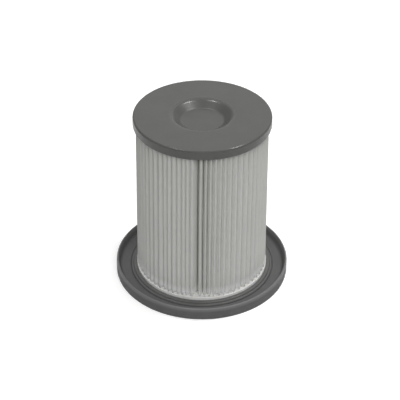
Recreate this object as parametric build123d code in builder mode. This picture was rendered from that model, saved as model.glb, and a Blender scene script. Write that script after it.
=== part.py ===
from build123d import *
import os
from math import atan2, cos, exp, radians, sin, tan

# Cylindrical pleated vacuum filter in millimetres, +Z up.
# The origin is the centre of the sealing face, on the underside of the seal ring.
# Radii are worked out from the air outlet outwards, heights from the sealing face upwards.

# Overall height, from the sealing face to the top of the cap
total_height = 130.4

# Base plate: air outlet, potting trough and a stepped hub that overhangs the seal ring
outlet_radius = 28.5
spigot_wall = 1.8
spigot_rise = 6.5
base_lift = 0.6
trough_floor = 2.0
trough_margin = 0.5
trough_wall = 1.6
land_rise = 2.2
land_width = 2.8
step_drop = 1.2
step_width = 1.8

# Seal ring: a soft dish that seats under the hub and ends in an upturned rim
seal_clearance = 0.2
seal_floor = 3.0
channel_width = 7.0
rim_slope_run = 2.5
rim_top_width = 1.1
rim_height = 8.8
rim_draft = 0.5

# Inner cage: a many-sided tube with rows of windows that stands over the spigot and carries the cap
cage_clearance = 0.2
cage_wall = 1.8
cage_sides = 12
cage_end_band = 11.0
cage_band = 4.0
cage_rib = 4.2
cage_rows = 3

# Folded paper media: one closed sheet that flares a little towards the base
media_clearance = 0.5
media_depth = 12.0
media_flare = 1.3
paper = 0.6
crest_slit = 0.6
crest_drop = 1.2
ridge_share = 0.6
inner_crease = 0.5
crease_inset = 0.2
pleats_per_side = 32
seam_gap = 7.8
seam_valley = 1.5
seam_depth = 5.5
seam_shoulder = 1.5
seam_crowding = 0.3
crowded_pleats = 6
crowding_edge = 4

# Potting at both ends of the media
glue_clearance = 0.1
bottom_glue_rise = 3.0
top_glue_depth = 2.2

# Top cap: plate, skirt and finger dimple with an even wall
cap_plate = 2.2
cap_edge_bevel = 0.8
skirt_clearance = 0.4
skirt_wall = 1.7
skirt_depth = 4.4
dimple_mouth_radius = 21.2
dimple_floor_radius = 14.8
dimple_depth = 4.6
dimple_shoulder_radius = 1.6

# Radii, from the outlet outwards
spigot_radius = outlet_radius + spigot_wall
cage_inner_flat = spigot_radius + cage_clearance
cage_outer_flat = cage_inner_flat + cage_wall
cage_corner_radius = cage_outer_flat / cos(radians(180 / cage_sides))
media_inner_radius = cage_corner_radius + media_clearance
media_outer_radius = media_inner_radius + media_depth
media_foot_radius = media_outer_radius + media_flare
trough_radius = media_foot_radius + trough_margin
seat_radius = trough_radius + trough_wall
land_radius = trough_radius + land_width
hub_radius = land_radius + step_width
channel_radius = hub_radius + channel_width
rim_inner_radius = channel_radius + rim_slope_run
rim_radius = rim_inner_radius + rim_top_width
skirt_inner_radius = media_outer_radius + skirt_clearance
cap_radius = skirt_inner_radius + skirt_wall

# Heights, from the sealing face upwards
trough_level = base_lift + trough_floor
land_level = seal_floor + land_rise
step_level = land_level - step_drop
spigot_level = trough_level + spigot_rise
foot_level = land_level + bottom_glue_rise
plate_level = total_height - cap_plate
skirt_level = plate_level - skirt_depth
media_level = plate_level - top_glue_depth
dimple_level = total_height - dimple_depth


def around(angle, radius, aside=0.0):
    """Point at an angle from the seam, which faces -Y, and set aside along the tangent."""
    turn = radians(angle - 90)
    return (radius * cos(turn) - aside * sin(turn), radius * sin(turn) + aside * cos(turn))


def crest_angles():
    """Angles of the crests: close together beside the seam and wider towards the back."""
    half_turn = 180 - seam_gap / 2
    crowding = [exp(-((k / crowded_pleats) ** crowding_edge)) for k in range(pleats_per_side)]
    weights = [1 - seam_crowding * share for share in crowding]
    angles = [seam_gap / 2]
    for weight in weights:
        angles.append(angles[-1] + half_turn * weight / sum(weights))
    return angles + [360 - angle for angle in reversed(angles[:-1])]


def valley_angles(crests):
    """Angle of the valley after each crest; the seam valley leans to one side of its gap."""
    middles = [(before + after) / 2 for before, after in zip(crests, crests[1:])]
    return middles + [360 + seam_valley]


crests = crest_angles()
valleys = valley_angles(crests)
valley_radii = [media_inner_radius] * (len(crests) - 1) + [media_outer_radius - seam_depth]


def crest_sides():
    """Half widths of each crest: they leave a slit to the next crest, or a shoulder at the seam."""
    pitches = [radians(after - before) * media_outer_radius for before, after in zip(crests, crests[1:])]
    halves = [(pitch - crest_slit) / 2 for pitch in pitches]
    return list(zip([seam_shoulder] + halves, halves + [seam_shoulder]))


def across(angle, radius, before, after):
    """Two points across a fold."""
    return [around(angle, radius, -before), around(angle, radius, after)]


def media_outside():
    """Outline of the outer side of the sheet: broad bevelled crests and narrow valleys."""
    points = []
    for crest, (before, after), valley, radius in zip(crests, crest_sides(), valleys, valley_radii):
        shoulder = across(crest, media_outer_radius - crest_drop, before, after)
        ridge = across(crest, media_outer_radius, ridge_share * before, ridge_share * after)
        points += [shoulder[0], *ridge, shoulder[1]]
        points += across(valley, radius + paper, inner_crease / 2, inner_crease / 2)
    return points


def media_inside():
    """Outline of the inner side of the sheet: the inside of each crest and the inner folds."""
    points = []
    for crest, (before, after), valley, radius in zip(crests, crest_sides(), valleys, valley_radii):
        hollow = [ridge_share * side - crease_inset for side in (before, after)]
        points += across(crest, media_outer_radius - paper, *hollow)
        points += across(valley, radius, inner_crease / 2 + paper, inner_crease / 2 + paper)
    return points


os.makedirs("parts", exist_ok=True)

# Base plate: outlet spigot, trough for the potting, land, step and the seat under the hub
with BuildPart() as base_plate:
    with BuildSketch(Plane.XZ):
        with BuildLine():
            Polyline(
                (outlet_radius, base_lift),
                (seat_radius, base_lift),
                (seat_radius, seal_floor),
                (hub_radius, seal_floor),
                (hub_radius, step_level),
                (land_radius, step_level),
                (land_radius, land_level),
                (trough_radius, land_level),
                (trough_radius, trough_level),
                (spigot_radius, trough_level),
                (spigot_radius, spigot_level),
                (outlet_radius, spigot_level),
                close=True,
            )
        make_face()
    revolve(axis=Axis.Z)
base_plate.part.label = "base_plate"
export_step(base_plate.part, "parts/base_plate.step")

# Seal ring: flat sealing face, open channel round the hub and upturned rim
with BuildPart() as seal_ring:
    with BuildSketch(Plane.XZ):
        with BuildLine():
            Polyline(
                (seat_radius + seal_clearance, 0),
                (rim_radius - rim_draft, 0),
                (rim_radius, rim_height),
                (rim_inner_radius, rim_height),
                (channel_radius, seal_floor),
                (seat_radius + seal_clearance, seal_floor),
                close=True,
            )
        make_face()
    revolve(axis=Axis.Z)
seal_ring.part.label = "seal_ring"
export_step(seal_ring.part, "parts/seal_ring.step")

# Inner cage: flat sides between base and cap, each with a row of windows between ribs at the corners
side_turn = 360 / cage_sides
cage_middle = (0, 0, (trough_level + plate_level) / 2)
side_planes = [
    Plane(cage_middle, x_dir=(*around(turn, 0, 1), 0), z_dir=(*around(turn, 1), 0)).offset(outlet_radius)
    for turn in [k * side_turn for k in range(cage_sides)]
]
row_pitch = (plate_level - trough_level - 2 * cage_end_band + cage_band) / cage_rows
window_width = 2 * cage_inner_flat * tan(radians(side_turn / 2)) - cage_rib
with BuildPart() as inner_cage:
    with BuildSketch(Plane.XY.offset(trough_level)):
        RegularPolygon(cage_outer_flat, cage_sides, major_radius=False, rotation=side_turn / 2)
        RegularPolygon(
            cage_inner_flat, cage_sides, major_radius=False, rotation=side_turn / 2, mode=Mode.SUBTRACT
        )
    extrude(amount=plate_level - trough_level)
    with BuildSketch(*side_planes):
        with GridLocations(0, row_pitch, 1, cage_rows):
            Rectangle(window_width, row_pitch - cage_band)
    extrude(amount=cage_corner_radius - outlet_radius, mode=Mode.SUBTRACT)
inner_cage.part.label = "inner_cage"
export_step(inner_cage.part, "parts/inner_cage.step")

# Folded paper media between the two beds of potting, scaled up towards its foot
foot_growth = media_foot_radius / media_outer_radius
with BuildPart() as pleat_pack:
    for side, mode in ((media_outside(), Mode.ADD), (media_inside(), Mode.SUBTRACT)):
        for level, growth in ((foot_level, foot_growth), (media_level, 1.0)):
            with BuildSketch(Plane.XY.offset(level)):
                with BuildLine():
                    Polyline(*[(growth * x, growth * y) for x, y in side], close=True)
                make_face()
        loft(ruled=True, mode=mode)
pleat_pack.part.label = "pleat_pack"
export_step(pleat_pack.part, "parts/pleat_pack.step")

# Potting in the base trough, standing proud of the land round the foot of the pleats
glue_inner_radius = cage_corner_radius + glue_clearance
with BuildPart() as bottom_glue:
    with BuildSketch(Plane.XY.offset(trough_level)):
        Circle(trough_radius - glue_clearance)
        Circle(glue_inner_radius, mode=Mode.SUBTRACT)
    extrude(amount=foot_level - trough_level)
bottom_glue.part.label = "bottom_glue"
export_step(bottom_glue.part, "parts/bottom_glue.step")

# Potting between the media and the plate of the cap
with BuildPart() as top_glue:
    with BuildSketch(Plane.XY.offset(media_level)):
        Circle(skirt_inner_radius - glue_clearance)
        Circle(glue_inner_radius, mode=Mode.SUBTRACT)
    extrude(amount=plate_level - media_level)
top_glue.part.label = "top_glue"
export_step(top_glue.part, "parts/top_glue.step")

# Top cap: plate with a skirt over the pleats and a dimple whose wall is as thick as the plate
dimple_slope = atan2(dimple_depth, dimple_mouth_radius - dimple_floor_radius)
wall_shift = cap_plate * tan(dimple_slope / 2)
with BuildPart() as top_cap:
    with BuildSketch(Plane.XZ):
        with BuildLine():
            Polyline(
                (0, dimple_level),
                (dimple_floor_radius, dimple_level),
                (dimple_mouth_radius, total_height),
                (cap_radius, total_height),
                (cap_radius, skirt_level),
                (skirt_inner_radius, skirt_level),
                (skirt_inner_radius, plate_level),
                (dimple_mouth_radius + wall_shift, plate_level),
                (dimple_floor_radius + wall_shift, dimple_level - cap_plate),
                (0, dimple_level - cap_plate),
                close=True,
            )
        make_face()
    revolve(axis=Axis.Z)
    top_rings = top_cap.edges().filter_by(GeomType.CIRCLE).group_by(Axis.Z)[-1].sort_by(SortBy.RADIUS)
    fillet(top_rings[0], dimple_shoulder_radius)
    chamfer(top_rings[-1], cap_edge_bevel)
top_cap.part.label = "top_cap"
export_step(top_cap.part, "parts/top_cap.step")
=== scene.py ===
"""Looks of the pleated vacuum filter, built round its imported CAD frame."""

import logging
import math
import random
from dataclasses import dataclass
from enum import Enum
from typing import Callable, Optional, Sequence

import bmesh
import bpy
from bpy.types import Material, Node, NodeSocket, Object
from mathutils import Matrix, Vector


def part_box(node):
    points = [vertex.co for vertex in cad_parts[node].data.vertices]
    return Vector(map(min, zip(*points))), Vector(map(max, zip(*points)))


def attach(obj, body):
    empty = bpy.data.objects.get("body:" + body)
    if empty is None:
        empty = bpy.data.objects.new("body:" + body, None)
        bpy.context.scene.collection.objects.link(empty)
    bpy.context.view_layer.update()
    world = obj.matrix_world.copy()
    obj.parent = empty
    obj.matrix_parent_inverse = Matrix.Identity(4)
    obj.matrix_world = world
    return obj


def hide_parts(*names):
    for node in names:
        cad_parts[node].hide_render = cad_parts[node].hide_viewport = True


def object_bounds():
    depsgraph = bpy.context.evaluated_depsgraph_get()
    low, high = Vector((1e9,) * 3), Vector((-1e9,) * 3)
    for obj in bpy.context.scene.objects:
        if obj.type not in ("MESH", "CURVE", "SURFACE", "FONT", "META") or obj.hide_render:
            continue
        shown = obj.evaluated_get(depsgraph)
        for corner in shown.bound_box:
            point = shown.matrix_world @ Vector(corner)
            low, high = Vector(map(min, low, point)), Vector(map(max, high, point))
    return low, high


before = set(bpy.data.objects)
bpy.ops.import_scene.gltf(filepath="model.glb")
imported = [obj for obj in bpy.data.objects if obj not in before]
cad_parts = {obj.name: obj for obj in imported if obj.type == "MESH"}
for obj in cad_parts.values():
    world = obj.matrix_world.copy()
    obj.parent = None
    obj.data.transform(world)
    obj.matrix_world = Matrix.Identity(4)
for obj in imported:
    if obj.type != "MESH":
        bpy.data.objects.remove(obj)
CAD_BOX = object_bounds()

LOG = logging.getLogger("vacuum_filter")
BODY = "root"

# Metres in a millimetre: the sizes of the pieces are in millimetres
MM = 0.001
# Mesh attribute that marks each point: how far an edge is polished by rubbing and painted lighter as a
# highlight, or how much painted shade lies on the glue bed
RUB_AND_PAINTED_LIGHT = "rub_and_painted_light"
# A point of an outline that lies nearer to the axis than this is on it
AXIS_TOLERANCE = 1e-6
# Straight runs longer than so many guard distances get guard points
GUARDED_RUN = 4.0
# The whole range of a share
FULL = (0.0, 1.0)

Point = tuple[float, float]
RubLightPoint = tuple[float, float, float]
Colour = tuple[float, float, float]
Wave = tuple[float, float, float]
Scale = tuple[float, float, float]
Span = tuple[float, float]
Ripple = Callable[[float, float, float], Point]


class Slot(Enum):
    """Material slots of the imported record."""

    CAP = "cap_plastic"
    BASE = "base_plastic"
    CAGE = "cage_plastic"
    SEAL = "seal_rubber"
    PAPER = "filter_paper"
    GLUE = "potting_glue"


def box_mm(node: str) -> tuple[Vector, Vector]:
    """Give the lowest and highest corner of a CAD node in millimetres.

    Args:
        node: Name of the CAD node.

    Returns:
        The two corners of its box.
    """
    low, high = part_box(node)
    return low / MM, high / MM


class ShaderGraph:
    """Short-hand for wiring the nodes of one material."""

    def __init__(self, name: str) -> None:
        """Start a material that holds one principled shader.

        Args:
            name: Name of the material.
        """
        self.material = bpy.data.materials.new(name)
        self.material.use_nodes = True
        self.tree = self.material.node_tree
        self.tree.nodes.clear()
        output = self.node("ShaderNodeOutputMaterial")
        self.shader = self.node("ShaderNodeBsdfPrincipled")
        self.link(self.shader.outputs["BSDF"], output.inputs["Surface"])
        self.place = self.node("ShaderNodeTexCoord").outputs["Object"]

    def node(self, kind: str, **values: object) -> Node:
        """Add a node and set its sockets.

        Args:
            kind: Type name of the node.
            **values: Socket values by name, with underscores for spaces.

        Returns:
            The new node.
        """
        made = self.tree.nodes.new(kind)
        for name, value in values.items():
            made.inputs[name.replace("_", " ")].default_value = value
        return made

    def link(self, source: NodeSocket, target: NodeSocket) -> None:
        """Wire one socket to another."""
        self.tree.links.new(source, target)

    def feed(self, **sources: NodeSocket) -> None:
        """Wire values into inputs of the shader, named with underscores for spaces."""
        for name, source in sources.items():
            self.link(source, self.shader.inputs[name.replace("_", " ")])

    def fix(self, **values: object) -> None:
        """Set inputs of the shader that are the same all over, named in the same way."""
        for name, value in values.items():
            self.shader.inputs[name.replace("_", " ")].default_value = value

    def attribute(self, name: str) -> NodeSocket:
        """Give a value that the mesh stores at its points.

        Args:
            name: Name of the mesh attribute.

        Returns:
            The value socket.
        """
        reader = self.tree.nodes.new("ShaderNodeAttribute")
        reader.attribute_name = name
        return reader.outputs["Fac"]

    def height(self) -> NodeSocket:
        """Give the height above the sealing face.

        Returns:
            The socket with metres.
        """
        parts = self.tree.nodes.new("ShaderNodeSeparateXYZ")
        self.link(self.place, parts.inputs["Vector"])
        return parts.outputs["Z"]

    def stretched(self, scale: Scale) -> NodeSocket:
        """Give object coordinates scaled along each axis.

        Args:
            scale: Factor for X, Y and Z.

        Returns:
            The vector socket.
        """
        mapping = self.node("ShaderNodeMapping")
        mapping.inputs["Scale"].default_value = scale
        self.link(self.place, mapping.inputs["Vector"])
        return mapping.outputs["Vector"]

    def noise(
        self,
        feature_mm: float,
        detail: float = 3.0,
        rough: float = 0.55,
        place: Optional[NodeSocket] = None,
    ) -> NodeSocket:
        """Add a noise texture whose features have a stated size.

        Args:
            feature_mm: Size of one feature.
            detail: Number of finer layers.
            rough: Strength of the finer layers.
            place: Coordinates, or none for plain object coordinates.

        Returns:
            The socket with values round 0.5.
        """
        scale = 1.0 / (feature_mm * MM)
        texture = self.node("ShaderNodeTexNoise", Scale=scale, Detail=detail, Roughness=rough)
        self.link(place or self.place, texture.inputs["Vector"])
        return texture.outputs["Fac"]

    def spread(self, value: NodeSocket, result: Span, source: Span = (0.3, 0.7)) -> NodeSocket:
        """Map a value from one range to another and clamp it.

        Args:
            value: Socket to map.
            result: What the ends of the source range become.
            source: Range of values that is mapped.

        Returns:
            The mapped socket.
        """
        ends = dict(zip(("From_Min", "From_Max", "To_Min", "To_Max"), source + result))
        mapper = self.node("ShaderNodeMapRange", **ends)
        self.link(value, mapper.inputs["Value"])
        return mapper.outputs["Result"]

    def added(self, first: NodeSocket, second: NodeSocket, factor: float = 1.0) -> NodeSocket:
        """Add a scaled value to another.

        Args:
            first: Socket that is scaled.
            second: Socket that it is added to.
            factor: Scale of the first.

        Returns:
            The sum.
        """
        total = self.tree.nodes.new("ShaderNodeMath")
        total.operation = "MULTIPLY_ADD"
        self.link(first, total.inputs[0])
        total.inputs[1].default_value = factor
        self.link(second, total.inputs[2])
        return total.outputs["Value"]

    def blend(self, share: NodeSocket, first: object, second: object) -> NodeSocket:
        """Mix two colours.

        Args:
            share: Socket from 0, all first, to 1, all second.
            first: Colour or colour socket.
            second: Colour or colour socket.

        Returns:
            The mixed colour socket.
        """
        mixer = self.tree.nodes.new("ShaderNodeMix")
        mixer.data_type = "RGBA"
        self.link(share, mixer.inputs["Factor"])
        for name, colour in (("A", first), ("B", second)):
            target = next(s for s in mixer.inputs if s.name == name and s.type == "RGBA")
            if isinstance(colour, NodeSocket):
                self.link(colour, target)
            else:
                target.default_value = (*colour, 1.0)
        return next(s for s in mixer.outputs if s.type == "RGBA")

    def bump(
        self,
        height: NodeSocket,
        depth_mm: float,
        strength: float = 1.0,
        under: Optional[NodeSocket] = None,
    ) -> NodeSocket:
        """Turn a height into a bumped normal.

        Args:
            height: Socket with the height.
            depth_mm: Height of a full step.
            strength: Share of the effect.
            under: Normal that this bump lies on.

        Returns:
            The normal socket.
        """
        bump = self.node("ShaderNodeBump", Strength=strength, Distance=depth_mm * MM)
        self.link(height, bump.inputs["Height"])
        if under:
            self.link(under, bump.inputs["Normal"])
        return bump.outputs["Normal"]


def shade(colour: Colour, factor: float) -> Colour:
    """Scale a colour."""
    return (colour[0] * factor, colour[1] * factor, colour[2] * factor)


@dataclass(frozen=True)
class MouldedPlastic:
    """Satin grey plastic with eroded grain, faint flow clouds, and edges polished by rubbing and painted
    lighter as a highlight.
    """

    name: str
    colour: Colour
    roughness: Span
    specular: float = 0.42
    grain_mm: float = 0.35
    grain_depth_mm: float = 0.035
    grain_strength: Span = (0.5, 0.06)
    cloud_mm: float = 14.0
    cloud_contrast: float = 0.05
    # Share by which rubbing-marked places are painted lighter: a painted highlight
    edge_highlight_gain: float = 0.08
    edge_polish: float = 0.22

    def material(self) -> Material:
        """Build the node material.

        Returns:
            The finished material.
        """
        graph = ShaderGraph(self.name)
        clouds = graph.spread(graph.noise(self.cloud_mm), FULL)
        plain = graph.blend(
            clouds,
            shade(self.colour, 1.0 - self.cloud_contrast),
            shade(self.colour, 1.0 + self.cloud_contrast),
        )
        rub_and_painted_light = graph.attribute(RUB_AND_PAINTED_LIGHT)
        grain = graph.noise(self.grain_mm, detail=2.0)
        gloss = graph.spread(grain, self.roughness)
        grained = graph.bump(grain, self.grain_depth_mm)
        graph.link(graph.spread(rub_and_painted_light, self.grain_strength, FULL), grained.node.inputs["Strength"])
        graph.feed(
            # Painted highlight: places marked for rubbing are painted lighter
            Base_Color=graph.blend(rub_and_painted_light, plain, shade(self.colour, 1.0 + self.edge_highlight_gain)),
            Roughness=graph.added(rub_and_painted_light, gloss, -self.edge_polish),
            Normal=grained,
        )
        graph.fix(Specular_IOR_Level=self.specular)
        return graph.material


@dataclass(frozen=True)
class SealRubber:
    """Dull moulded rubber with a powdery bloom, fine pits, and a rim polished by rubbing and painted
    lighter as a highlight.
    """

    name: str
    colour: Colour
    bloom: Colour
    roughness: Span = (0.54, 0.72)
    specular: float = 0.35
    pit_mm: float = 0.5
    pit_depth_mm: float = 0.03
    pit_strength: float = 0.6
    bloom_mm: float = 9.0
    bloom_share: Span = (0.0, 0.6)
    bloom_range: Span = (0.42, 0.75)
    # Share by which the rim's top is painted lighter: a painted highlight
    edge_highlight_gain: float = 0.35
    edge_polish: float = 0.2

    def material(self) -> Material:
        """Build the node material.

        Returns:
            The finished material.
        """
        graph = ShaderGraph(self.name)
        dust_and_shade = graph.spread(graph.noise(self.bloom_mm, detail=5.0), self.bloom_share, self.bloom_range)
        dusty_and_shaded = graph.blend(dust_and_shade, self.colour, self.bloom)
        rub_and_painted_light = graph.attribute(RUB_AND_PAINTED_LIGHT)
        pits = graph.noise(self.pit_mm)
        gloss = graph.spread(pits, self.roughness)
        graph.feed(
            # Painted highlight: the rim's top band is painted lighter
            Base_Color=graph.blend(rub_and_painted_light, dusty_and_shaded, shade(self.bloom, 1.0 + self.edge_highlight_gain)),
            Roughness=graph.added(rub_and_painted_light, gloss, -self.edge_polish),
            Normal=graph.bump(pits, self.pit_depth_mm, self.pit_strength),
        )
        graph.fix(Specular_IOR_Level=self.specular)
        return graph.material


@dataclass(frozen=True)
class FilterPaper:
    """Off-white bonded fibre sheet: matted and cloudy, painted darker towards its top as shade, and
    steeped in glue at its foot, where it is painted brighter against the shade, fading upwards.
    """

    name: str
    colour: Colour
    thin: Colour
    # Colour of the glue-steeped foot, brighter than the glue itself: painted light against the shade at
    # the foot
    soaked_and_lit: Colour
    # Painted shade colour that darkens the paper towards its top, under the cap
    top_shade: Colour
    foot_mm: float
    top_mm: float
    soak_mm: float = 7.0
    ragged_mm: float = 3.0
    tongue_mm: float = 1.6
    tongue_scale: Scale = (1.0, 1.0, 0.3)
    # Painted light: the paper is lightened over this height above its foot, against the shade of the base
    foot_light_mm: float = 45.0
    foot_light_share: Span = (0.2, 0.0)
    # Painted shade: the paper is darkened over this height below its top
    top_shade_mm: float = 40.0
    top_shade_share: Span = (0.0, 0.3)
    fibre_mm: float = 0.45
    upright_scale: Scale = (1.0, 1.0, 0.2)
    level_scale: Scale = (0.35, 0.35, 5.0 / 3.0)
    fibre_depth_mm: float = 0.05
    fibre_strength: float = 0.7
    cloud_mm: float = 5.0
    cloud_share: Span = (0.0, 0.7)
    speckle_share: Span = (0.0, 0.35)
    speckle_gain: float = 1.08
    speckle_range: Span = (0.75, 1.3)
    roughness: Span = (0.82, 0.95)
    matted_range: Span = (0.7, 1.3)
    specular: float = 0.2
    glow_mm: float = 2.0
    glow_share: float = 0.5
    glow_tint: Colour = (1.0, 0.95, 0.85)

    def soak_and_foot_light(self, graph: ShaderGraph) -> NodeSocket:
        """Wire how much of the pale foot colour the paper takes: a ragged band steeped in glue and
        painted brighter against the shade at the foot, and a painted lighter fade above it.

        Args:
            graph: Nodes of the material.

        Returns:
            The socket with 1 where the paper is steeped in glue and painted lightest.
        """
        tongues = graph.noise(self.tongue_mm, detail=2.0, place=graph.stretched(self.tongue_scale))
        rise = graph.added(tongues, graph.height(), self.ragged_mm * MM)
        low = self.foot_mm + self.ragged_mm / 2.0
        soak = graph.spread(rise, FULL[::-1], (low * MM, (low + self.soak_mm) * MM))
        # Painted light: a fade above the foot, lightest at the foot
        reach = (self.foot_mm * MM, (self.foot_mm + self.foot_light_mm) * MM)
        return graph.added(graph.spread(graph.height(), self.foot_light_share, reach), soak)

    def material(self) -> Material:
        """Build the node material.

        Returns:
            The finished material.
        """
        graph = ShaderGraph(self.name)
        upright = graph.noise(self.fibre_mm, detail=4.0, place=graph.stretched(self.upright_scale))
        level = graph.noise(self.fibre_mm, detail=4.0, place=graph.stretched(self.level_scale))
        matted = graph.added(upright, level)
        clouds = graph.spread(graph.noise(self.cloud_mm, detail=4.0), self.cloud_share)
        toned = graph.blend(clouds, self.colour, self.thin)
        speckle = graph.spread(matted, self.speckle_share, self.speckle_range)
        clean = graph.blend(speckle, toned, shade(self.colour, self.speckle_gain))
        # Painted shade: the paper darkens towards its top, under the cap
        reach = ((self.top_mm - self.top_shade_mm) * MM, self.top_mm * MM)
        dry = graph.blend(graph.spread(graph.height(), self.top_shade_share, reach), clean, self.top_shade)
        graph.feed(
            # Painted light: the glue-steeped foot and the fade above it are painted brighter than the
            # shade there
            Base_Color=graph.blend(self.soak_and_foot_light(graph), dry, self.soaked_and_lit),
            Roughness=graph.spread(matted, self.roughness, self.matted_range),
            Normal=graph.bump(matted, self.fibre_depth_mm, self.fibre_strength),
        )
        graph.fix(
            Specular_IOR_Level=self.specular,
            Subsurface_Weight=self.glow_share,
            Subsurface_Radius=self.glow_tint,
            Subsurface_Scale=self.glow_mm * MM,
        )
        return graph.material


@dataclass(frozen=True)
class PottingGlue:
    """Set white adhesive: waxy, a little lumpy, yellowed in places, and painted darker on the bed behind
    the bead as shade.
    """

    name: str
    colour: Colour
    aged: Colour
    # Painted shade colour for the bed behind the bead
    dusty_and_shaded: Colour
    roughness: Span = (0.62, 0.87)
    specular: float = 0.2
    patch_mm: float = 6.6
    patch_range: Span = (0.4, 0.7)
    lump_mm: float = 2.2
    lump_depth_mm: float = 0.12
    lump_strength: float = 0.5
    glow_mm: float = 1.2
    glow_share: float = 0.25
    glow_tint: Colour = (1.0, 0.9, 0.75)

    def material(self) -> Material:
        """Build the node material.

        Returns:
            The finished material.
        """
        graph = ShaderGraph(self.name)
        age = graph.spread(graph.noise(self.patch_mm, detail=4.0), FULL, self.patch_range)
        set_white = graph.blend(age, self.colour, self.aged)
        lumps = graph.noise(self.lump_mm, detail=2.0)
        graph.feed(
            # Painted shade: the bed behind the bead takes the darker colour
            Base_Color=graph.blend(graph.attribute(RUB_AND_PAINTED_LIGHT), set_white, self.dusty_and_shaded),
            Roughness=graph.spread(lumps, self.roughness),
            Normal=graph.bump(lumps, self.lump_depth_mm, self.lump_strength),
        )
        graph.fix(
            Specular_IOR_Level=self.specular,
            Subsurface_Weight=self.glow_share,
            Subsurface_Radius=self.glow_tint,
            Subsurface_Scale=self.glow_mm * MM,
        )
        return graph.material


@dataclass(frozen=True)
class StudioPaper:
    """Matt white background sheet with a barely visible tooth and a faint glow."""

    name: str
    colour: Colour
    roughness: float = 0.9
    specular: float = 0.1
    tooth_mm: float = 1.5
    tooth_tone: float = 0.99
    glow: float = 0.3

    def material(self) -> Material:
        """Build the node material.

        Returns:
            The finished material.
        """
        graph = ShaderGraph(self.name)
        tooth = graph.spread(graph.noise(self.tooth_mm, detail=2.0), FULL)
        graph.feed(Base_Color=graph.blend(tooth, self.colour, shade(self.colour, self.tooth_tone)))
        graph.fix(
            Roughness=self.roughness,
            Specular_IOR_Level=self.specular,
            Emission_Color=(1.0, 1.0, 1.0, 1.0),
            Emission_Strength=self.glow,
        )
        return graph.material


@dataclass(frozen=True)
class Corner:
    """One corner of a turned outline in millimetres, with the radius that softens it."""

    radius: float
    height: float
    soft: float = 0.0
    rub_light: float = 0.0
    room: float = 0.48

    @property
    def spot(self) -> Vector:
        """Give the corner as a flat vector."""
        return Vector((self.radius, self.height))


def softened(corner: Corner, before: Vector, after: Vector, steps: int) -> list[RubLightPoint]:
    """Replace one corner by an arc, marked in its middle, where hands rub it, for polish and a painted
    highlight.

    Args:
        corner: Corner to soften.
        before: The corner before it.
        after: The corner after it.
        steps: Number of chords in the arc.

    Returns:
        The points of the arc, or the corner alone when it is sharp.
    """
    here = corner.spot
    back, ahead = before - here, after - here
    if corner.soft <= 0.0:
        return [(here.x, here.y, 0.0)]
    half = back.angle(ahead) / 2.0
    reach = min(corner.soft / math.tan(half), corner.room * min(back.length, ahead.length))
    bisector = (back.normalized() + ahead.normalized()).normalized()
    centre = here + bisector * (reach / math.cos(half))
    first = here + back.normalized() * reach - centre
    last = here + ahead.normalized() * reach - centre
    sweep = math.atan2(first.cross(last), first.dot(last))
    arc = []
    for step in range(steps + 1):
        turn = sweep * step / steps
        arc.append(
            (
                centre.x + first.x * math.cos(turn) - first.y * math.sin(turn),
                centre.y + first.x * math.sin(turn) + first.y * math.cos(turn),
                corner.rub_light * math.sin(math.pi * step / steps),
            )
        )
    return arc


def rounded_outline(corners: Sequence[Corner], steps: int = 6, guard: float = 0.3) -> list[RubLightPoint]:
    """Trace an outline with softened corners and guard points that keep its flats flat.

    Args:
        corners: Corners in order, closed back to the first.
        steps: Number of chords in each arc.
        guard: Distance of a guard point from the end of a straight run.

    Returns:
        Radius, height and share of rubbing and painted light of each point.
    """
    arcs = []
    for index, corner in enumerate(corners):
        after = corners[(index + 1) % len(corners)]
        arcs.append(softened(corner, corners[index - 1].spot, after.spot, steps))
    points: list[RubLightPoint] = []
    for arc, following in zip(arcs, arcs[1:] + arcs[:1]):
        points.extend(arc)
        start, end = Vector(arc[-1][:2]), Vector(following[0][:2])
        run = (end - start).length
        if run > GUARDED_RUN * guard:
            points.append((*start.lerp(end, guard / run), 0.0))
            points.append((*start.lerp(end, 1.0 - guard / run), 0.0))
    return points


def new_piece(
    name: str,
    vertices: Sequence[Sequence[float]],
    faces: Sequence[Sequence[int]],
    rub_and_painted_light: Optional[Sequence[float]] = None,
) -> Object:
    """Make a smooth mesh object with outward normals.

    Args:
        name: Name of the piece.
        vertices: Points in metres.
        faces: Indices of each face.
        rub_and_painted_light: Share of rubbing and painted light at each point, from 0 to 1.

    Returns:
        The object, linked to the scene.
    """
    mesh = bpy.data.meshes.new(name)
    mesh.from_pydata(vertices, [], faces)
    if rub_and_painted_light:
        mesh.attributes.new(RUB_AND_PAINTED_LIGHT, "FLOAT", "POINT").data.foreach_set("value", rub_and_painted_light)
    work = bmesh.new()
    work.from_mesh(mesh)
    bmesh.ops.recalc_face_normals(work, faces=work.faces)
    for face in work.faces:
        face.smooth = True
    work.to_mesh(mesh)
    work.free()
    piece = bpy.data.objects.new(name, mesh)
    bpy.context.scene.collection.objects.link(piece)
    return piece


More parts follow.
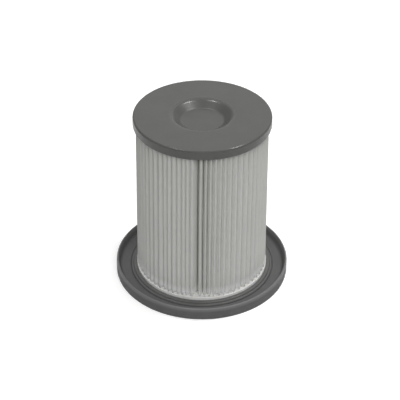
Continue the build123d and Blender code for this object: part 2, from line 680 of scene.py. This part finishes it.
def turned_piece(
    name: str, outline: Sequence[RubLightPoint], segments: int, ripple: Optional[Ripple] = None
) -> Object:
    """Sweep an outline round the Z axis into one closed mesh.

    Args:
        name: Name of the piece.
        outline: Radius and height in millimetres, and share of rubbing and painted light, of each point.
        segments: Number of steps round the axis.
        ripple: Moves a point, given its turn, radius and height.

    Returns:
        The turned object.
    """
    vertices: list[tuple[float, float, float]] = []
    rings: list[list[int]] = []
    rub_light: list[float] = []
    for radius, height, rub_and_painted_light in outline:
        first = len(vertices)
        if radius < AXIS_TOLERANCE:
            vertices.append((0.0, 0.0, height * MM))
            rings.append([first] * segments)
            rub_light.append(rub_and_painted_light)
            continue
        for step in range(segments):
            turn = math.tau * step / segments
            r, z = ripple(turn, radius, height) if ripple else (radius, height)
            vertices.append((r * MM * math.cos(turn), r * MM * math.sin(turn), z * MM))
        rings.append(list(range(first, first + segments)))
        rub_light += [rub_and_painted_light] * segments
    faces = []
    for ring, other in zip(rings, rings[1:] + rings[:1]):
        for step in range(segments):
            after = (step + 1) % segments
            corners = [ring[step], ring[after], other[after], other[step]]
            unique = list(dict.fromkeys(corners))
            if len(unique) > 2:
                faces.append(unique)
    return new_piece(name, vertices, faces, rub_light)


def seat(piece: Object, node: str, material: Material) -> Object:
    """Dress a piece and let it stand for a CAD node.

    Args:
        piece: The modelled piece.
        node: CAD node that it replaces.
        material: Finish of the piece.

    Returns:
        The same piece.
    """
    piece.data.materials.append(material)
    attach(piece, BODY)
    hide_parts(node)
    return piece


def dress(node: str, material: Material) -> Object:
    """Give a CAD node that stays in view a better finish.

    Args:
        node: Name of the CAD node.
        material: Finish to assign.

    Returns:
        The node's object.
    """
    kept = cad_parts[node]
    for holder in kept.material_slots:
        holder.material = material
    return kept


@dataclass
class EndCap:
    """Moulded cap: flat top, finger dimple with a soft shoulder, and a short skirt."""

    plate: float = 2.2
    skirt_wall: float = 1.7
    skirt_depth: float = 4.4
    dimple_mouth: float = 21.2
    dimple_floor: float = 14.8
    dimple_depth: float = 4.6
    shoulder: float = 6.0
    lip_run: float = 0.85
    # Shares of rubbing on the lip, top edge and skirt: polished, and painted lighter as a highlight
    lip_rub_light: float = 0.6
    floor_cove: float = 3.4
    edge_round: float = 1.4
    edge_rub_light: float = 0.95
    skirt_round: float = 0.45
    skirt_rub_light: float = 0.4
    inner_cove: float = 0.5
    arc_steps: int = 8
    segments: int = 192

    def outline(self) -> list[RubLightPoint]:
        """Trace the half section of the cap.

        Returns:
            Radius, height and share of rubbing and painted highlight of each point.
        """
        high = box_mm("top_cap")[1]
        radius, top = high.x, high.z
        skirt = top - self.plate - self.skirt_depth
        floor = top - self.dimple_depth
        slope = math.atan2(self.dimple_depth, self.dimple_mouth - self.dimple_floor)
        shift = self.plate * math.tan(slope / 2.0)
        brow = self.lip_run * (math.tan(slope) / math.tan(slope / 2.0) - 1.0)
        under = top - self.plate
        inner = radius - self.skirt_wall
        return rounded_outline(
            [
                Corner(0.0, floor),
                Corner(self.dimple_floor, floor, self.floor_cove),
                Corner(
                    self.dimple_mouth - self.lip_run,
                    top - self.lip_run * math.tan(slope),
                    self.shoulder,
                    rub_light=self.lip_rub_light,
                ),
                Corner(self.dimple_mouth + brow, top, self.shoulder, rub_light=self.lip_rub_light),
                Corner(radius, top, self.edge_round, rub_light=self.edge_rub_light),
                Corner(radius, skirt, self.skirt_round, rub_light=self.skirt_rub_light),
                Corner(inner, skirt, self.skirt_round),
                Corner(inner, under, self.inner_cove),
                Corner(self.dimple_mouth + shift, under, self.inner_cove),
                Corner(self.dimple_floor + shift, floor - self.plate, self.floor_cove),
                Corner(0.0, floor - self.plate),
            ],
            steps=self.arc_steps,
        )

    def build(self) -> list[Object]:
        """Turn the cap and dress it.

        Returns:
            The finished piece.
        """
        finish = MouldedPlastic("cap_grey", colour=(0.077, 0.0775, 0.0738), roughness=(0.3, 0.44))
        piece = turned_piece("cap", self.outline(), self.segments)
        return [seat(piece, "top_cap", finish.material())]


@dataclass
class Folds:
    """Angles of the crests and valleys of the folded sheet, in degrees from the seam."""

    pleats_per_side: int = 32
    seam_gap: float = 7.8
    seam_valley: float = 1.5
    seam_crowding: float = 0.3
    crowded_pleats: int = 6
    crowding_edge: int = 4

    def crests(self) -> list[float]:
        """Give the crest angles: close beside the seam and wider towards the back.

        Returns:
            Angles from 0 to 360 degrees.
        """
        half_turn = 180.0 - self.seam_gap / 2.0
        weights = [
            1.0 - self.seam_crowding * math.exp(-((k / self.crowded_pleats) ** self.crowding_edge))
            for k in range(self.pleats_per_side)
        ]
        angles = [self.seam_gap / 2.0]
        for weight in weights:
            angles.append(angles[-1] + half_turn * weight / sum(weights))
        return angles + [360.0 - angle for angle in reversed(angles[:-1])]

    def valleys(self) -> list[float]:
        """Give the angle of the valley after each crest.

        Returns:
            Angles in degrees; the seam valley lies past 360.
        """
        crests = self.crests()
        middles = [(before + after) / 2.0 for before, after in zip(crests, crests[1:])]
        return middles + [360.0 + self.seam_valley]


def around(angle: float, radius: float, out: float = 0.0, aside: float = 0.0) -> Point:
    """Give a point at an angle from the seam, which faces -Y.

    Args:
        angle: Degrees from the seam, growing towards +X.
        radius: Distance from the axis.
        out: Further distance outwards.
        aside: Distance along the tangent.

    Returns:
        X and Y.
    """
    turn = math.radians(angle - 90.0)
    reach = radius + out
    return (
        reach * math.cos(turn) - aside * math.sin(turn),
        reach * math.sin(turn) + aside * math.cos(turn),
    )


def waved(turn: float, waves: Sequence[Wave]) -> float:
    """Add up waves that run round the axis.

    Args:
        turn: Angle round the axis in radians.
        waves: Size, number per turn and phase of each wave.

    Returns:
        The sum at that angle.
    """
    return sum(size * math.sin(count * turn + phase) for size, count, phase in waves)


@dataclass(frozen=True)
class Flank:
    """One side of a crest that curves down into a rounded groove."""

    width: float
    drop: float

    def fall(self, share: float) -> float:
        """Give the fall in millimetres at a share of the width."""
        return self.drop * (1.0 - math.cos(math.pi * share)) / 2.0


@dataclass(frozen=True)
class LapFlank(Flank):
    """Side of a crest that runs straight down into the seam and is rounded only at its ridge."""

    bend: float = 0.15

    def fall(self, share: float) -> float:
        """Give the fall in millimetres at a share of the width."""
        whole = math.hypot(1.0, self.bend) - self.bend
        return self.drop * (math.hypot(share, self.bend) - self.bend) / whole


@dataclass
class Pleat:
    """Chance shape of one fold: where it strays from its even place on the way up."""

    stray: float
    bow: float
    wave: float
    phase: float
    proud: float
    wave_turns: float = 1.3
    even_share: float = 0.4
    swell_share: float = 0.6
    swell_shift: float = 0.3

    def angle_shift(self, share: float) -> float:
        """Give the stray of the crest in degrees at a share of the height.

        Args:
            share: 0 at the foot, 1 at the cap.

        Returns:
            Degrees to add to the crest angle.
        """
        free = math.sin(math.pi * share)
        wave = self.wave * math.sin(math.tau * self.wave_turns * share + self.phase)
        return self.stray + free * (self.bow + wave)

    def reach_shift(self, share: float) -> float:
        """Give how far the crest stands proud in millimetres at a share of the height.

        Args:
            share: 0 at the foot, 1 at the cap.

        Returns:
            Millimetres to add to the crest radius.
        """
        swell = math.sin(math.pi * share + self.swell_shift * self.phase)
        return self.proud * (self.even_share + self.swell_share * swell)


@dataclass
class PleatPack:
    """Folded paper sheet, closed at one wide seam, flared towards its foot."""

    folds: Folds
    depth: float = 12.0
    flare: float = 1.3
    paper: float = 0.6
    slit: float = 0.08
    seam_slit: float = 0.6
    groove: float = 1.12
    seam_groove: float = 2.9
    open_reach: float = 3.2
    lap_before: Flank = Flank(1.0, 0.6)
    lap_after: LapFlank = LapFlank(3.6, 5.6)
    inner_gap: float = 0.2
    seam_gap: float = 0.5
    seam_depth: float = 5.8
    sunk: float = 2.6
    twist: float = 0.6
    least_width: float = 0.1
    crest_steps: int = 10
    valley_steps: int = 4
    panel_points: int = 2
    levels: int = 26
    # Largest chance departures of a crest, in degrees, and of its reach, in millimetres
    stray: float = 0.4
    bow: float = 0.25
    wave: float = 0.12
    proud: Span = (-0.4, 0.1)
    seed: int = 7

    def __post_init__(self) -> None:
        """Read the pack's size from the frame and draw the chance shape of each fold."""
        low, high = box_mm("pleat_pack")
        self.foot, self.top = low.z, high.z
        self.outer = high.y - self.flare
        self.inner = self.outer - self.depth
        chance = random.Random(self.seed)
        self.chance = [
            Pleat(
                stray=chance.uniform(-self.stray, self.stray),
                bow=chance.uniform(-self.bow, self.bow),
                wave=chance.uniform(-self.wave, self.wave),
                phase=chance.uniform(0.0, math.tau),
                proud=chance.uniform(*self.proud),
            )
            for _ in self.folds.crests()
        ]

    def flanks(self, ridges: Sequence[float]) -> list[tuple[Flank, Flank]]:
        """Give the flanks of all crests, which leave only a slit to their neighbours.

        Args:
            ridges: Angle of each crest in degrees from the seam.

        Returns:
            The flank before and after each ridge; the grooves stand open on one side of
            the seam, and the last crest falls gently into it.
        """
        sides = []
        for index, (here, following) in enumerate(zip(ridges, ridges[1:])):
            pitch = math.radians(following - here) * self.outer
            share = math.exp(-index / self.open_reach)
            slit = self.slit + (self.seam_slit - self.slit) * share
            drop = self.groove + (self.seam_groove - self.groove) * share
            sides.append(Flank((pitch - slit) / 2.0, drop))
        return list(zip([self.lap_before] + sides, sides + [self.lap_after]))

    def crest_curve(
        self, flanks: tuple[Flank, Flank], angle: float, reach: float, thick: float
    ) -> list[Point]:
        """Trace the rounded ridge of one crest.

        Args:
            flanks: The flank before and after its ridge.
            angle: Its angle in degrees from the seam.
            reach: Radius of the ridge.
            thick: How far inside the sheet's outer side the curve runs.

        Returns:
            The points in the order of growing angle.
        """
        points = []
        for step in range(self.crest_steps + 1):
            share = 2.0 * step / self.crest_steps - 1.0
            flank = flanks[0] if share < 0.0 else flanks[1]
            aside = max(flank.width - thick, self.least_width) * share
            points.append(around(angle, reach - thick, -flank.fall(abs(share)), aside))
        return points

    def valley_curve(self, index: int, angle: float, thick: float) -> list[Point]:
        """Trace the half circle of one inner fold.

        Args:
            index: Number of the valley.
            angle: Its angle in degrees from the seam.
            thick: How far the curve runs towards the core from the sheet's outer side.

        Returns:
            The points in the order of growing angle.
        """
        seam = index == len(self.chance) - 1
        gap = self.seam_gap if seam else self.inner_gap
        floor = self.outer - self.seam_depth if seam else self.inner + self.paper
        bend = gap + thick
        points = []
        for step in range(self.valley_steps + 1):
            turn = math.pi * (step / self.valley_steps - 0.5)
            points.append(around(angle, floor + gap, -bend * math.cos(turn), bend * math.sin(turn)))
        return points

    def panel(self, start: Point, end: Point) -> list[Point]:
        """Trace the inner points of a straight panel between two folds.

        Args:
            start: Where the panel leaves one fold.
            end: Where it joins the next.

        Returns:
            The points between the two ends.
        """
        first, last = Vector(start), Vector(end)
        parts = self.panel_points + 1
        return [tuple(first.lerp(last, step / parts)) for step in range(1, parts)]

    def outline(self, share: float, inside: bool) -> list[Point]:
        """Trace one side of the sheet at a share of the height.

        Args:
            share: 0 at the foot, 1 at the cap.
            inside: True for the side that faces the core.

        Returns:
            The closed outline in millimetres.
        """
        thick = self.paper if inside else 0.0
        lean = self.twist * (share - 0.5)
        ridges = [
            crest + lean + pleat.angle_shift(share)
            for crest, pleat in zip(self.folds.crests(), self.chance)
        ]
        flanks = self.flanks(ridges)
        arcs: list[list[Point]] = []
        for index, valley in enumerate(self.folds.valleys()):
            reach = self.outer + self.chance[index].reach_shift(share)
            arcs.append(self.crest_curve(flanks[index], ridges[index], reach, thick))
            arcs.append(self.valley_curve(index, valley + lean, thick))
        points: list[Point] = []
        for arc, following in zip(arcs, arcs[1:] + arcs[:1]):
            points += arc + self.panel(arc[-1], following[0])
        return points

    def mesh(self) -> Object:
        """Loft both sides of the sheet and close its two edges.

        Returns:
            The folded sheet as one closed mesh.
        """
        vertices: list[tuple[float, float, float]] = []
        low = self.foot - self.sunk
        count = 0
        for inside in (False, True):
            for level in range(self.levels + 1):
                share = level / self.levels
                growth = 1.0 + (1.0 - share) * self.flare / self.outer
                height = (low + (self.top - low) * share) * MM
                points = self.outline(share, inside)
                count = len(points)
                vertices += [(growth * x * MM, growth * y * MM, height) for x, y in points]
        inner_start = (self.levels + 1) * count
        rows = [
            (start + level * count, start + (level + 1) * count)
            for start in (0, inner_start)
            for level in range(self.levels)
        ]
        rows += [(row, inner_start + row) for row in (0, self.levels * count)]
        faces = [
            (row + k, row + (k + 1) % count, other + (k + 1) % count, other + k)
            for row, other in rows
            for k in range(count)
        ]
        return new_piece("pleats", vertices, faces)

    def build(self) -> list[Object]:
        """Fold the sheet and dress it.

        Returns:
            The finished piece.
        """
        finish = FilterPaper(
            "filter_paper",
            colour=(0.64, 0.643, 0.61),
            thin=(0.595, 0.598, 0.567),
            # Glue-steeped foot colour, painted brighter against the shade there
            soaked_and_lit=(0.93, 0.93, 0.905),
            # Painted shade colour for the top of the pleats
            top_shade=(0.5, 0.5, 0.475),
            foot_mm=self.foot,
            top_mm=self.top,
        )
        return [seat(self.mesh(), "pleat_pack", finish.material())]


@dataclass
class Potting:
    """White adhesive at both ends of the pleats; the lower bead stands proud of the base."""

    folds: Folds
    steps_per_pleat: int = 8
    arc_steps: int = 5
    cage_sides: int = 12
    cage_gap: float = 0.05
    foot_round: float = 0.2
    rise: float = 3.0
    bead_height: float = 1.9
    bead_width: float = 0.35
    bead_round: float = 0.35
    bed_climb: float = 1.3
    bed_run: float = 1.2
    # Chance lumps along the edge, and its even sway in and out
    lump_height: float = 0.075
    lump_counts: tuple[int, ...] = (5, 9, 14, 23, 37, 58)
    least_lump: float = 0.3
    sway: float = 0.08
    sway_count: float = 31.0
    sway_phase: float = 1.0
    seed: int = 11

    def __post_init__(self) -> None:
        """Read the lower ring's size from the frame and draw the chance lumps of its edge."""
        low, high = box_mm("bottom_glue")
        self.floor, self.outer = low.z, high.x
        self.land = high.z - self.rise
        cage = box_mm("inner_cage")[1]
        self.inner = cage.x / math.cos(math.radians(180.0 / self.cage_sides)) + self.cage_gap
        chance = random.Random(self.seed)
        self.lumps: list[Wave] = [
            (chance.uniform(self.least_lump, 1.0), count, chance.uniform(0.0, math.tau))
            for count in self.lump_counts
        ]

    def dust_and_shade(self, radius: float, height: float) -> float:
        """Give the painted shade at a point of the lower ring.

        Args:
            radius: Radius of the point.
            height: Height of the point.

        Returns:
            0 on the bead's outer side, growing to 1 on the bed behind it.
        """
        if height <= self.land:
            return 0.0
        return min(1.0, (self.outer - radius) / self.bead_width)

    def outline(self) -> list[RubLightPoint]:
        """Trace the half section of the lower ring.

        Returns:
            Radius, height and painted shade of each point.
        """
        edge = self.land + self.bead_height
        brink = self.outer - self.bead_width
        bed = edge + self.bed_climb
        traced = rounded_outline(
            [
                Corner(self.inner, self.floor, self.foot_round),
                Corner(self.outer, self.floor, self.foot_round),
                Corner(self.outer, self.land),
                Corner(self.outer, edge, self.bead_round),
                Corner(brink, edge, self.bead_round),
                Corner(brink - self.bed_run, bed, self.bed_run / 2.0),
                Corner(self.inner, bed, self.foot_round),
            ],
            steps=self.arc_steps,
        )
        return [(radius, height, self.dust_and_shade(radius, height)) for radius, height, _ in traced]

    def ripple(self, turn: float, radius: float, height: float) -> Point:
        """Move a point of the ring with the lumps and the sway of its edge.

        Args:
            turn: Angle round the axis in radians.
            radius: Even radius of the point.
            height: Even height of the point.

        Returns:
            The moved radius and height.
        """
        share = max(0.0, (height - self.land) / self.bead_height)
        inward = self.sway * share * math.sin(self.sway_count * turn + self.sway_phase)
        upward = self.lump_height * waved(turn, self.lumps) * share
        return radius - inward, height + upward

    def build(self) -> list[Object]:
        """Cast the lower ring and dress both rings.

        Returns:
            The lower bead and the upper ring's CAD node.
        """
        material = PottingGlue(
            "potting_white",
            colour=(0.9, 0.9, 0.88),
            aged=(0.8, 0.798, 0.772),
            # Painted shade on the bed behind the bead
            dusty_and_shaded=(0.66, 0.66, 0.64),
        ).material()
        segments = self.steps_per_pleat * len(self.folds.crests())
        bead = turned_piece("potting_bead", self.outline(), segments, self.ripple)
        return [seat(bead, "bottom_glue", material), dress("top_glue", material)]


@dataclass
class SealedBase:
    """Stepped base plate with the air outlet, and the dished rubber ring clamped round it."""

    outlet: float = 28.5
    spigot_wall: float = 1.8
    trough_floor: float = 2.0
    trough_wall: float = 1.6
    land_width: float = 2.8
    step_width: float = 1.8
    step_drop: float = 1.2
    land_rise: float = 2.2
    seal_floor: float = 3.0
    seal_gap: float = 0.2
    channel_width: float = 7.0
    slope_run: float = 2.5
    rim_draft: float = 0.1
    hub_lean: float = 0.7
    joint_width: float = 0.3
    joint_depth: float = 0.45
    joint_tuck: float = 0.2
    # Depth of the rim's top band, polished by rubbing and painted lighter as a highlight; the rim's walls
    # bend at its foot
    rim_rub_light_depth: float = 2.6
    # Radii of softened corners, and the share of the next run that some may take up
    crisp: float = 0.1
    joint_round: float = 0.15
    eased: float = 0.2
    soft: float = 0.3
    rounded: float = 0.4
    outlet_round: float = 0.6
    hub_round: float = 0.7
    land_round: float = 0.95
    rim_round: float = 1.0
    channel_round: float = 2.2
    step_room: float = 0.14
    land_room: float = 0.8
    rim_room: float = 0.76
    lip_room: float = 0.22
    # Share of polish and painted highlight on the corners of the step and the land
    step_rub_light: float = 0.4
    plate_guard: float = 0.2
    ring_guard: float = 0.25
    # How the soft rim wanders in and out and up and down, and where it stands on the whole
    rim_sway: tuple[Wave, ...] = ((0.14, 3.0, 0.8), (0.07, 8.0, 2.0))
    rim_swell: tuple[Wave, ...] = ((0.1, 2.0, 1.4), (0.06, 7.0, 0.0))
    rim_tuck: float = 0.3
    rim_lift: float = 0.25
    segments: int = 224

    def __post_init__(self) -> None:
        """Read the sizes of both pieces from the frame."""
        low, high = box_mm("base_plate")
        self.lift, self.spigot_top, self.hub = low.z, high.z, high.x
        rim = box_mm("seal_ring")[1]
        self.rim, self.rim_top = rim.x, rim.z
        self.land_edge = self.hub - self.step_width
        self.trough = self.land_edge - self.land_width
        self.neck = self.trough + self.trough_wall
        self.land = self.seal_floor + self.land_rise
        self.step = self.land - self.step_drop

    def plate_outline(self) -> list[RubLightPoint]:
        """Trace the half section of the base plate.

        Returns:
            Radius, height and share of rubbing and painted highlight of each point.
        """
        spigot = self.outlet + self.spigot_wall
        floor = self.lift + self.trough_floor
        return rounded_outline(
            [
                Corner(self.outlet, self.lift, self.outlet_round),
                Corner(self.neck, self.lift, self.rounded),
                Corner(self.neck, self.seal_floor, self.crisp),
                Corner(self.hub, self.seal_floor, self.crisp),
                Corner(self.hub - self.hub_lean, self.step, self.hub_round, rub_light=self.step_rub_light),
                Corner(self.land_edge, self.step, self.soft, room=self.step_room),
                Corner(self.land_edge, self.land, self.land_round, self.step_rub_light, self.land_room),
                Corner(self.trough, self.land, self.eased),
                Corner(self.trough, floor, self.soft),
                Corner(spigot, floor, self.soft),
                Corner(spigot, self.spigot_top, self.rounded),
                Corner(self.outlet, self.spigot_top, self.rounded),
            ],
            guard=self.plate_guard,
        )

    def ring_outline(self) -> list[RubLightPoint]:
        """Trace the half section of the rubber ring.

        Returns:
            Radius, height and share of rubbing and painted highlight of each point.
        """
        neck = self.neck + self.seal_gap
        groove = self.hub + self.joint_width
        groove_floor = self.seal_floor - self.joint_depth
        tuck = self.hub - self.joint_tuck
        channel = self.hub + self.channel_width
        wall = channel + self.slope_run
        rub_light_start = self.rim_top - self.rim_rub_light_depth
        lean = self.rim_draft * self.rim_rub_light_depth / self.rim_top
        slope = self.slope_run * self.rim_rub_light_depth / (self.rim_top - self.seal_floor)
        traced = rounded_outline(
            [
                Corner(neck, 0.0, self.rounded),
                Corner(self.rim - self.rim_draft, 0.0, self.eased),
                Corner(self.rim - lean, rub_light_start),
                Corner(self.rim, self.rim_top, self.rim_round, room=self.rim_room),
                Corner(wall, self.rim_top, self.soft, room=self.lip_room),
                Corner(wall - slope, rub_light_start),
                Corner(channel, self.seal_floor, self.channel_round),
                Corner(groove, self.seal_floor, self.joint_round),
                Corner(groove, groove_floor, self.crisp),
                Corner(tuck, groove_floor, self.crisp),
                Corner(tuck, self.seal_floor, self.crisp),
                Corner(neck, self.seal_floor, self.crisp),
            ],
            guard=self.ring_guard,
        )
        # The rim's top band is polished by rubbing and painted lighter as a highlight, most at its top
        return [
            (radius, height, math.sqrt(max(0.0, (height - rub_light_start) / self.rim_rub_light_depth)))
            for radius, height, _ in traced
        ]

    def rim_ripple(self, turn: float, radius: float, height: float) -> Point:
        """Let the soft rim wander a little.

        Args:
            turn: Angle round the axis in radians.
            radius: Even radius of the point.
            height: Even height of the point.

        Returns:
            The moved radius and height.
        """
        free = max(0.0, (height - self.seal_floor) / (self.rim_top - self.seal_floor)) ** 2
        outward = waved(turn, self.rim_sway) - self.rim_tuck
        upward = waved(turn, self.rim_swell) + self.rim_lift
        return radius + free * outward, height + free * upward

    def build(self) -> list[Object]:
        """Turn the plate and the ring and dress them.

        Returns:
            The two finished pieces.
        """
        plastic = MouldedPlastic("base_grey", colour=(0.112, 0.112, 0.11), roughness=(0.36, 0.5))
        rubber = SealRubber("seal_rubber", colour=(0.104, 0.104, 0.104), bloom=(0.127, 0.127, 0.127))
        plate = turned_piece("base", self.plate_outline(), self.segments)
        ring = turned_piece("seal", self.ring_outline(), self.segments, self.rim_ripple)
        return [
            seat(plate, "base_plate", plastic.material()),
            seat(ring, "seal_ring", rubber.material()),
        ]


@dataclass
class SupportCage:
    """Open plastic cage inside the pleats."""

    def build(self) -> list[Object]:
        """Dress the cage's CAD node.

        Returns:
            The node's object.
        """
        finish = MouldedPlastic("cage_grey", colour=(0.14, 0.14, 0.14), roughness=(0.46, 0.6))
        return [dress("inner_cage", finish.material())]


@dataclass
class SoftBox:
    """One rectangular light that faces a point; sizes in metres, power in watts."""

    name: str
    direction: tuple[float, float, float]
    power: float
    width: float
    length: float
    distance: float = 1.3
    glints: bool = True

    def hang(self, aim: Vector) -> Object:
        """Place the light and turn it towards a point.

        Args:
            aim: Point that the light faces, in metres.

        Returns:
            The light's object.
        """
        data = bpy.data.lights.new(self.name, "AREA")
        data.shape = "RECTANGLE"
        data.size = self.width
        data.size_y = self.length
        data.energy = self.power
        lamp = bpy.data.objects.new(self.name, data)
        lamp.visible_glossy = self.glints
        toward = Vector(self.direction).normalized()
        lamp.location = aim + toward * self.distance
        lamp.rotation_euler = toward.to_track_quat("Z", "Y").to_euler()
        bpy.context.scene.collection.objects.link(lamp)
        return lamp


@dataclass
class Studio:
    """Pale floor, two small lamps overhead, a wide light in front and behind, and a soft surround."""

    floor_radius: float = 6.0
    floor_rings: int = 6
    floor_segments: int = 96
    surround: float = 0.4
    surround_lean: float = 0.11
    aim_height: float = 0.06

    def floor(self) -> Object:
        """Lay the floor under the filter.

        Returns:
            The floor's object, hidden from diffuse rays.
        """
        level = CAD_BOX[0][2]
        vertices = [(0.0, 0.0, level)]
        faces = []
        for ring in range(1, self.floor_rings + 1):
            reach = self.floor_radius * (ring / self.floor_rings) ** 2
            for step in range(self.floor_segments):
                turn = math.tau * step / self.floor_segments
                vertices.append((reach * math.cos(turn), reach * math.sin(turn), level))
        for step in range(self.floor_segments):
            after = (step + 1) % self.floor_segments
            faces.append((0, 1 + step, 1 + after))
            for ring in range(self.floor_rings - 1):
                low = 1 + ring * self.floor_segments
                high = low + self.floor_segments
                faces.append((low + step, high + step, high + after, low + after))
        sheet = new_piece("studio_floor", vertices, faces)
        finish = StudioPaper("studio_white", colour=(0.9, 0.9, 0.895))
        sheet.data.materials.append(finish.material())
        sheet.visible_diffuse = False
        return sheet

    def surround_light(self) -> None:
        """Set the light that comes from all sides, a little brighter from +X than from -X."""
        world = bpy.data.worlds.new("studio_surround")
        world.use_nodes = True
        tree = world.node_tree
        background = tree.nodes["Background"]
        background.inputs["Color"].default_value = (1.0, 1.0, 1.0, 1.0)
        direction = tree.nodes.new("ShaderNodeTexCoord")
        parts = tree.nodes.new("ShaderNodeSeparateXYZ")
        strength = tree.nodes.new("ShaderNodeMath")
        strength.operation = "MULTIPLY_ADD"
        strength.inputs[1].default_value = self.surround_lean
        strength.inputs[2].default_value = self.surround
        tree.links.new(direction.outputs["Generated"], parts.inputs["Vector"])
        tree.links.new(parts.outputs["X"], strength.inputs[0])
        tree.links.new(strength.outputs["Value"], background.inputs["Strength"])
        bpy.context.scene.world = world

    def build(self) -> list[Object]:
        """Set up floor and lights.

        Returns:
            The floor and the lamps.
        """
        self.surround_light()
        aim = Vector((0.0, 0.0, self.aim_height))
        lights = (
            SoftBox("light_right", (0.38, 0.16, 0.91), power=5.4, width=0.14, length=0.2),
            SoftBox("light_left", (-0.28, 0.13, 0.95), power=2.8, width=0.14, length=0.16),
            SoftBox("light_front", (0.1, -0.657, 0.743), power=7.5, width=0.9, length=0.7, glints=False),
            SoftBox("light_back", (0.0, 0.82, 0.57), power=2.8, width=1.3, length=1.3, distance=1.6),
        )
        lamps = [light.hang(aim) for light in lights]
        bpy.context.scene.view_settings.view_transform = "Standard"
        return [self.floor(), *lamps]


@dataclass
class PhotoCamera:
    """Camera at the photograph's place, for a square image."""

    elevation: float = 34.94
    distance: float = 900.0
    aim_x: float = -1.39
    aim_z: float = 58.61
    roll: float = 0.25
    seam_turn: float = 4.8
    focal_px: float = 1254.0
    image_px: float = 400.0
    sensor: float = 36.0

    def build(self) -> Object:
        """Place the camera and make it the scene's own.

        Returns:
            The camera's object.
        """
        rise, roll = math.radians(self.elevation), math.radians(self.roll)
        ahead = Vector((0.0, math.cos(rise), -math.sin(rise)))
        right = Vector((1.0, 0.0, 0.0))
        up = Vector((0.0, math.sin(rise), math.cos(rise)))
        across = math.cos(roll) * right + math.sin(roll) * up
        upward = math.cos(roll) * up - math.sin(roll) * right
        place = Vector((self.aim_x, 0.0, self.aim_z)) * MM - ahead * self.distance * MM
        axes = Matrix((across, upward, -ahead)).transposed().to_4x4()
        turn = Matrix.Rotation(math.radians(self.seam_turn), 4, "Z")
        data = bpy.data.cameras.new("photo_camera")
        data.sensor_width = self.sensor
        data.lens = self.focal_px / self.image_px * self.sensor
        camera = bpy.data.objects.new("photo_camera", data)
        camera.matrix_world = turn @ Matrix.Translation(place) @ axes
        bpy.context.scene.collection.objects.link(camera)
        bpy.context.scene.camera = camera
        return camera


def main() -> None:
    """Build camera, studio and every piece of the filter in order."""
    logging.basicConfig(level=logging.INFO, format="%(name)s: %(message)s")
    folds = Folds()
    PhotoCamera().build()
    Studio().build()
    for assembly in (EndCap(), PleatPack(folds), Potting(folds), SealedBase(), SupportCage()):
        for piece in assembly.build():
            LOG.info("%s: %d faces", piece.name, len(piece.data.polygons))


if __name__ == "__main__":
    main()
